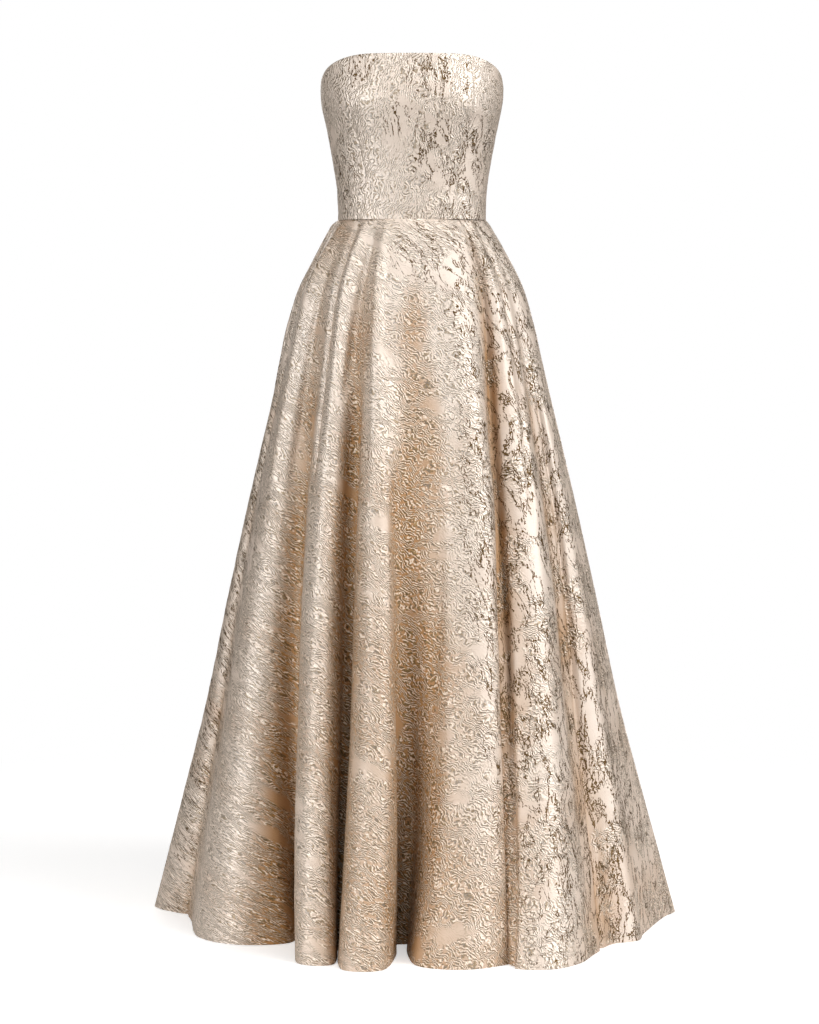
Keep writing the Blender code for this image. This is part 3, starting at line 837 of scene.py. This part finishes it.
# The folds, from the wearer's right side across the front and round the back: each is a crest between
# two furrows. Turns are degrees from the centre front, a reach is a share of the section's, and hem
# places are metres. Only a crest faces one way and has a half width.
FoldLine = namedtuple(
    "FoldLine",
    "name waist_turn hip_turn hip_reach hem_across hem_forward hem_facing hem_half_width",
)
FOLD_LINES = (
    FoldLine("right side", -90, -90, 1.000, -0.437, -0.050, -88, 0.030),
    FoldLine("right notch", -78, -77, 0.985, -0.376, 0.030, None, None),
    FoldLine("front fold 1", -63, -63, 1.000, -0.276, 0.244, -14, 0.074),
    FoldLine("furrow 1", -50, -50, 0.925, -0.178, 0.158, None, None),
    FoldLine("front fold 2", -38, -35, 1.000, -0.151, 0.386, -8, 0.027),
    FoldLine("furrow 2", -28, -27, 0.890, -0.117, 0.285, None, None),
    FoldLine("front fold 3", -18, -15, 1.010, -0.076, 0.426, -2, 0.031),
    FoldLine("furrow 3", -4, -2, 0.955, -0.014, 0.245, None, None),
    FoldLine("front fold 4", 22, 25, 1.000, 0.077, 0.413, 3, 0.066),
    FoldLine("furrow 4", 43, 37, 0.925, 0.151, 0.366, None, None),
    FoldLine("front fold 5", 52, 49, 1.010, 0.214, 0.410, 17, 0.052),
    FoldLine("furrow 5", 61, 61, 0.955, 0.290, 0.300, None, None),
    FoldLine("front fold 6", 73, 71, 1.000, 0.362, 0.215, 52, 0.044),
    FoldLine("left side", 90, 90, 1.000, 0.443, -0.010, 88, 0.055),
    FoldLine("back furrow 1", 104, 103, 0.950, 0.378, -0.140, None, None),
    FoldLine("back fold 1", 115, 115, 1.000, 0.352, -0.262, 128, 0.046),
    FoldLine("back furrow 2", 127, 127, 0.915, 0.246, -0.232, None, None),
    FoldLine("back fold 2", 139, 140, 1.010, 0.234, -0.392, 152, 0.040),
    FoldLine("back furrow 3", 151, 151, 0.910, 0.143, -0.272, None, None),
    FoldLine("back fold 3", 161, 162, 1.000, 0.106, -0.428, 170, 0.040),
    FoldLine("back furrow 4", 171, 171, 0.930, 0.052, -0.320, None, None),
    FoldLine("centre back", 180, 180, 1.000, 0.000, -0.440, 180, 0.036),
    FoldLine("back furrow 5", 190, 190, 0.920, -0.056, -0.305, None, None),
    FoldLine("back fold 4", 201, 201, 1.010, -0.124, -0.432, 191, 0.046),
    FoldLine("back furrow 6", 213, 213, 0.905, -0.178, -0.262, None, None),
    FoldLine("back fold 5", 225, 224, 1.000, -0.258, -0.372, 209, 0.050),
    FoldLine("back furrow 7", 238, 237, 0.920, -0.292, -0.210, None, None),
    FoldLine("back fold 6", 251, 251, 1.000, -0.386, -0.222, 240, 0.042),
    FoldLine("back furrow 8", 261, 261, 0.975, -0.398, -0.120, None, None),
)
SHOULDER_SHARE = 0.40
SHOULDER_REACH_SHARE = 0.25
SHOULDER_SETBACK = 0.42
SKIRT_ROWS = 168
ROW_CROWDING = 1.12
COLUMNS_PER_METRE = 205
MEASURED_HEIGHTS = (HEM, 0.6 * HEM, 0.3 * HEM)
MEASURED_PLACES = 4000
SKIRT_PUCKER_DEPTH = 0.0005
SKIRT_PUCKERS_PER_METRE = 34
PUCKERS_SETTLE = 0.04
CREASES_SETTLE = 0.012
SEAM_DIP_SETTLES = 0.006
# The straight grain hangs halfway between a panel's middle and its edge at the wearer's left.
SKIRT_GRAIN = 0.5

# The creases that lie on the folds. Each runs from one place to another, a place being a fold line, a
# shift along the lines beside it and a height. A trough has a negative depth, a ridge a positive one.
Crease = namedtuple("Crease", "start start_shift start_height end end_shift end_height depth half_width")
CREASES = (
    Crease("front fold 2", -1.00, -0.004, "front fold 2", -1.00, -0.420, -0.0060, 0.0060),
    Crease("front fold 2", 0.20, -0.012, "front fold 2", 0.10, -0.340, 0.0050, 0.0090),
    Crease("furrow 2", 0.15, -0.045, "furrow 2", -0.60, -0.270, -0.0070, 0.0080),
    Crease("front fold 3", -0.30, -0.020, "front fold 3", 0.00, -0.400, 0.0050, 0.0100),
    Crease("front fold 3", 0.70, -0.060, "furrow 3", -0.50, -0.300, -0.0020, 0.0120),
    Crease("furrow 4", 0.10, -0.020, "furrow 4", 0.28, -0.340, -0.0120, 0.0055),
    Crease("furrow 4", 0.28, -0.340, "furrow 4", 0.58, -0.740, -0.0140, 0.0056),
    Crease("furrow 4", 0.58, -0.740, "furrow 4", 0.75, HEM, -0.0100, 0.0056),
    Crease("furrow 1", -0.20, -0.240, "furrow 1", -0.20, HEM, -0.0035, 0.0180),
    Crease("furrow 2", 0.10, -0.300, "furrow 2", 0.00, HEM, -0.0080, 0.0160),
    Crease("furrow 4", 0.84, -0.006, "furrow 4", 0.95, -0.250, 0.0035, 0.0075),
    Crease("furrow 4", -0.32, -0.420, "furrow 4", -0.10, HEM, 0.0060, 0.0120),
    Crease("front fold 5", 0.30, -0.110, "front fold 5", -0.25, -0.480, -0.0030, 0.0060),
    Crease("front fold 5", 0.75, -0.030, "front fold 5", 0.60, -0.300, -0.0035, 0.0070),
    Crease("furrow 5", 0.85, -0.300, "furrow 5", 0.55, -0.740, -0.0080, 0.0055),
    Crease("furrow 5", 0.55, -0.740, "furrow 5", 0.40, HEM, -0.0090, 0.0060),
    Crease("furrow 3", 0.75, -0.290, "furrow 3", 0.55, -0.760, -0.0035, 0.0110),
    Crease("furrow 3", -0.35, -0.380, "furrow 3", -0.20, HEM, -0.0130, 0.0240),
    Crease("front fold 4", -0.25, -0.070, "front fold 4", -0.15, -0.560, 0.0080, 0.0300),
    Crease("front fold 1", -0.40, -0.030, "front fold 1", 0.15, -0.420, 0.0050, 0.0100),
    Crease("furrow 1", -0.50, -0.060, "furrow 1", -0.60, -0.420, -0.0055, 0.0090),
    Crease("right notch", -0.20, -0.040, "right notch", -0.60, -0.480, -0.0055, 0.0080),
    Crease("right notch", -0.60, -0.480, "right notch", -0.10, HEM, -0.0070, 0.0100),
    Crease("left side", -0.60, -0.050, "left side", -0.50, -0.420, -0.0030, 0.0080),
    Crease("back furrow 1", 0.00, -0.030, "back furrow 1", -0.20, -0.500, -0.0055, 0.0080),
    Crease("back fold 1", 0.10, -0.015, "back fold 1", -0.10, -0.330, 0.0045, 0.0100),
    Crease("back furrow 2", 0.10, -0.020, "back furrow 2", 0.20, -0.400, -0.0080, 0.0070),
    Crease("back furrow 2", 0.20, -0.400, "back furrow 2", 0.35, -0.900, -0.0080, 0.0080),
    Crease("back fold 2", -0.20, -0.010, "back fold 2", 0.10, -0.300, 0.0050, 0.0090),
    Crease("back furrow 3", 0.00, -0.030, "back furrow 3", -0.30, -0.380, -0.0065, 0.0080),
    Crease("back furrow 4", 0.20, -0.015, "back furrow 4", 0.00, -0.350, -0.0060, 0.0070),
    Crease("back fold 3", 0.40, -0.060, "back fold 3", 0.10, -0.400, -0.0025, 0.0070),
    Crease("back furrow 5", -0.10, -0.015, "back furrow 5", 0.10, -0.380, -0.0065, 0.0075),
    Crease("back fold 4", 0.15, -0.012, "back fold 4", 0.00, -0.300, 0.0048, 0.0100),
    Crease("back furrow 6", 0.10, -0.020, "back furrow 6", -0.25, -0.430, -0.0090, 0.0070),
    Crease("back furrow 6", -0.25, -0.430, "back furrow 6", -0.40, -0.980, -0.0080, 0.0085),
    Crease("back fold 5", -0.35, -0.040, "back fold 5", 0.05, -0.420, 0.0040, 0.0110),
    Crease("back furrow 7", 0.15, -0.030, "back furrow 7", 0.00, -0.360, -0.0060, 0.0080),
    Crease("back furrow 8", -0.20, -0.050, "back furrow 8", 0.10, -0.520, -0.0050, 0.0085),
)
CREASE_FADE = 0.045
CREASE_FADE_WIDTHS = 9


def on_section(turn_degrees, reach):
    turn = math.radians(turn_degrees)
    return np.array((reach * math.sin(turn), reach * math.cos(turn)))


def hem_share(across, forward):
    """A place on the hem's plan as shares of the hem section's half width and depth."""
    half_width, front, back = section_at(SKIRT_SECTIONS, HEM)
    return np.array((across / half_width, forward / (front if forward >= 0 else back)))


def wrapped_neighbour(index, step):
    """The fold line beside this one, with its turns carried past a whole circle where the list wraps."""
    place = index + step
    line = FOLD_LINES[place % len(FOLD_LINES)]
    lap = 360 * (place // len(FOLD_LINES))
    return line._replace(waist_turn=line.waist_turn + lap, hip_turn=line.hip_turn + lap)


def shoulder(index, side):
    """The line where a crest rounds into the furrow on one side of it: -1 before it, 1 after it."""
    crest = FOLD_LINES[index]
    beside = wrapped_neighbour(index, side)
    waist_turn = crest.waist_turn + SHOULDER_SHARE * (beside.waist_turn - crest.waist_turn)
    hip_turn = crest.hip_turn + SHOULDER_SHARE * (beside.hip_turn - crest.hip_turn)
    hip_reach = crest.hip_reach + SHOULDER_REACH_SHARE * (beside.hip_reach - crest.hip_reach)
    facing = math.radians(crest.hem_facing)
    outward = np.array((math.sin(facing), math.cos(facing)))
    onward = np.array((math.cos(facing), -math.sin(facing)))
    place = np.array((crest.hem_across, crest.hem_forward))
    place = place + crest.hem_half_width * (side * onward - SHOULDER_SETBACK * outward)
    return on_section(waist_turn, 1.0), on_section(hip_turn, hip_reach), hem_share(*place)


def skirt_lines():
    """Every line the skirt's sections pass through, as shares at the waist, the hip and the hem."""
    lines = []
    places = {}
    for index, line in enumerate(FOLD_LINES):
        if line.hem_facing is not None:
            lines.append(shoulder(index, -1))
        places[line.name] = len(lines)
        middle = (
            on_section(line.waist_turn, 1.0),
            on_section(line.hip_turn, line.hip_reach),
            hem_share(line.hem_across, line.hem_forward),
        )
        lines.append(middle)
        if line.hem_facing is not None:
            lines.append(shoulder(index, 1))
    return np.array(lines), places


LINES, LINE_PLACES = skirt_lines()


def skirt_ring(height):
    """Plan of the skirt's lines at this height: their shares of the section, times its sizes."""
    # The shares follow a parabola through those at the waist, the hip and the hem.
    down = height / HEM
    hip = HIP / HEM
    at_waist = (down - hip) * (down - 1) / hip
    at_hip = down * (down - 1) / (hip * (hip - 1))
    at_hem = down * (down - hip) / (1 - hip)
    shares = at_waist * LINES[:, 0] + at_hip * LINES[:, 1] + at_hem * LINES[:, 2]
    half_width, front, back = section_at(SKIRT_SECTIONS, height)
    depth = np.where(shares[:, 1] >= 0, front, back)
    return np.stack([shares[:, 0] * half_width, shares[:, 1] * depth], axis=1)


def skirt_row(place, height):
    """Points round the skirt at one height: place counts along the lines, smoothly between them."""
    ring = skirt_ring(height)
    k = np.floor(place).astype(int)
    # A smooth curve through the four lines nearest each place, paced by the roots of their distances.
    p0, p1, p2, p3 = (ring[(k + step) % len(ring)] for step in (-1, 0, 1, 2))
    t1 = np.sqrt(np.linalg.norm(p1 - p0, axis=1))[:, None]
    t2 = t1 + np.sqrt(np.linalg.norm(p2 - p1, axis=1))[:, None]
    t3 = t2 + np.sqrt(np.linalg.norm(p3 - p2, axis=1))[:, None]
    t = t1 + (t2 - t1) * (place - k)[:, None]
    a1 = ((t1 - t) * p0 + t * p1) / t1
    a2 = ((t2 - t) * p1 + (t - t1) * p2) / (t2 - t1)
    a3 = ((t3 - t) * p2 + (t - t2) * p3) / (t3 - t2)
    b1 = ((t2 - t) * a1 + t * a2) / t2
    b2 = ((t3 - t) * a2 + (t - t1) * a3) / (t3 - t1)
    plan = ((t2 - t) * b1 + (t - t1) * b2) / (t2 - t1)
    return np.stack([plan[:, 0], -plan[:, 1], np.full(len(plan), height)], axis=1)


def even_places(first, last):
    """Places from one line to another, evenly spaced along the cloth at the hem and part way up."""
    fine = np.linspace(first, last, MEASURED_PLACES)
    rows = [skirt_row(fine, height) for height in MEASURED_HEIGHTS]
    steps = sum(np.linalg.norm(np.diff(row, axis=0), axis=1) for row in rows)
    along = np.concatenate([[0], np.cumsum(steps)])
    columns = int(along[-1] / len(rows) * COLUMNS_PER_METRE)
    return np.interp(np.linspace(0, along[-1], columns + 1), along, fine)


def eased(share):
    share = np.clip(share, 0, 1)
    return share * share * (3 - 2 * share)


def crease_depths(places, heights, cloth, first):
    """How far the creases push each point of a skirt panel out, or in where it is negative."""
    depths = np.zeros(cloth.shape[:2])
    for crease in CREASES:
        start = LINE_PLACES[crease.start] + crease.start_shift
        end = LINE_PLACES[crease.end] + crease.end_shift
        # The lines well before a panel's first are met again beyond the end of the list.
        lap = len(LINES) if start < first - 2 else 0
        down = (crease.start_height - heights) / (crease.start_height - crease.end_height)
        centre = start + lap + (end - start) * np.clip(down, 0, 1)
        middle = np.array([np.interp(c, places, row) for c, row in zip(centre, cloth[..., 0])])
        aside = (cloth[..., 0] - middle[:, None]) / crease.half_width
        fade_length = max(CREASE_FADE, CREASE_FADE_WIDTHS * crease.half_width)
        fade = eased((crease.start_height - heights) / fade_length + 0.5)
        if crease.end_height != HEM:
            fade = fade * eased((heights - crease.end_height) / fade_length + 0.5)
        depths += crease.depth * fade[:, None] * np.exp(-aside * aside)
    return depths


HOLLOW_DEPTH_TOP = 0.024
HOLLOW_DEPTH_HEM = 0.058
HOLLOW_FULL_FROM = -0.10
HOLLOW_VIEWS = 72
HOLLOW_RING_PLACES = 300

# Golden brown shade is painted on more and more from this height down to the hem, and most near the
# middle of the front and of the back.
PAINTED_SHADE_FROM = -0.10
PAINTED_SHADE_AT_HEM = 0.64
PAINTED_SHADE_ONSET = 3.5
PAINTED_SHADE_ALL_ROUND = 0.27
PAINTED_SHADE_IN_MIDDLE = 0.65
PAINTED_SHADE_NARROWNESS = 8
PAINTED_SHADE_TURN = math.radians(-5)


def painted_shade_amount(outer, heights):
    """Painted shade at each point: up to 1 well inside a furrow, more towards the hem and the middle, and
    in patches.
    """
    turns = np.linspace(0, 2 * math.pi, HOLLOW_VIEWS, endpoint=False)
    directions = np.stack([np.sin(turns), np.cos(turns)])
    ring_places = np.linspace(0, len(LINES), HOLLOW_RING_PLACES, endpoint=False)
    painted_shade = np.zeros(outer.shape[:2])
    # The reach is how far the skirt goes each way, and the gap how far inside that a point lies.
    for row, height in enumerate(heights):
        reach = (skirt_row(ring_places, height)[:, :2] @ directions).max(axis=0)
        gap = (reach - outer[row, :, :2] @ directions).min(axis=1)
        depth = HOLLOW_DEPTH_TOP + (HOLLOW_DEPTH_HEM - HOLLOW_DEPTH_TOP) * height / HEM
        turn = np.arctan2(outer[row, :, 0], -outer[row, :, 1])
        # Painted shade that grows towards the hem and the middle of the front and back.
        down = (height - PAINTED_SHADE_FROM) / (HEM - PAINTED_SHADE_FROM)
        broad_shade = PAINTED_SHADE_AT_HEM * max(0.0, 1 - (1 - down) ** PAINTED_SHADE_ONSET)
        middle = np.cos(turn - PAINTED_SHADE_TURN) ** PAINTED_SHADE_NARROWNESS
        broad_shade = broad_shade * (PAINTED_SHADE_ALL_ROUND + PAINTED_SHADE_IN_MIDDLE * middle)
        # Patches of painted shade.
        broad_shade = np.maximum(broad_shade, patch_strength(outer[row], PAINTED_SHADE_PATCHES))
        sunk = np.clip(gap / depth, 0, 1) * min(1.0, height / HOLLOW_FULL_FROM)
        painted_shade[row] = broad_shade + (1 - broad_shade) * sunk
    return painted_shade


def skirt_panel(node, first_line, last_line, uv_shift):
    """A skirt panel between two of the fold lines, from the waist seam to the hem."""
    first = LINE_PLACES[first_line]
    last = LINE_PLACES[last_line]
    if last <= first:
        last += len(LINES)
    places = even_places(first, last)
    down = np.linspace(1, 0, SKIRT_ROWS + 1) ** ROW_CROWDING
    heights = np.minimum(HEM * down, -SEAM_GAP / 2)
    outer = np.array([skirt_row(places, height) for height in heights])
    for edge, beside in ((0, 1), (-1, -2)):
        inward = outer[:, beside] - outer[:, edge]
        outer[:, edge] += inward * (SEAM_GAP / 2 / np.linalg.norm(inward, axis=1, keepdims=True))
    cloth = cloth_places(outer)
    near_seam = np.exp(-((edge_distance(cloth) / SEAM_SOFTNESS) ** 2))
    below_waist = -cloth[..., 1]
    pucker = puckered(cloth, uv_shift[0], SKIRT_PUCKERS_PER_METRE) * SKIRT_PUCKER_DEPTH
    pucker = pucker * eased(below_waist / PUCKERS_SETTLE)
    crease = crease_depths(places, heights, cloth, first) * np.clip(below_waist / CREASES_SETTLE, 0, 1)
    dip = SEAM_DIP * near_seam * np.clip(below_waist / SEAM_DIP_SETTLES, 0, 1)
    away = (pucker + crease) * (1 - near_seam) - dip
    outer = outer + away[..., None] * grid_normals(outer)
    outer[0, :, 2] = HEM
    outer[-1, :, 2] = -SEAM_GAP / 2
    painted_shade = painted_shade_amount(outer, heights)
    make_panel(node, outer, SKIRT_WALL, skirt_brocade, painted_shade, SKIRT_GRAIN, uv_shift)


skirt_panel("skirt_front", "right side", "left side", (17.0, 4.0))
skirt_panel("skirt_back_left", "left side", "centre back", (21.0, 4.6))
skirt_panel("skirt_back_right", "centre back", "right side", (25.0, 5.1))

# Zip slider and pull tab
# The concealed zip's slider rests at the top of the centre back seam and its pull tab hangs from a pin
# between the slider's ears. Both are die-cast brass with a pale polish.

BRASS = (0.70, 0.58, 0.38, 1)
WORN_BRASS = (0.60, 0.48, 0.31, 1)
SCUFFS = Unevenness(500, 4, 0.6, 0.0)
BRASS_ROUGHNESS = Ramp(0.3, 0.7, 0.20, 0.30)


def make_brass():
    material, nodes, links, shader = new_material("zip_brass")
    place = nodes.new("ShaderNodeTexCoord")
    scuffs = noise_value(nodes, links, place.outputs["Object"], SCUFFS)
    links.new(mix_colour(nodes, links, scuffs, BRASS, WORN_BRASS), shader.inputs["Base Color"])
    links.new(smooth_step(nodes, links, scuffs, *BRASS_ROUGHNESS), shader.inputs["Roughness"])
    shader.inputs["Metallic"].default_value = 1.0
    return material


zip_brass = make_brass()
for node in ("zip_slider", "zip_pull"):
    metal_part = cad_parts[node]
    metal_part.data.materials.clear()
    metal_part.data.materials.append(zip_brass)
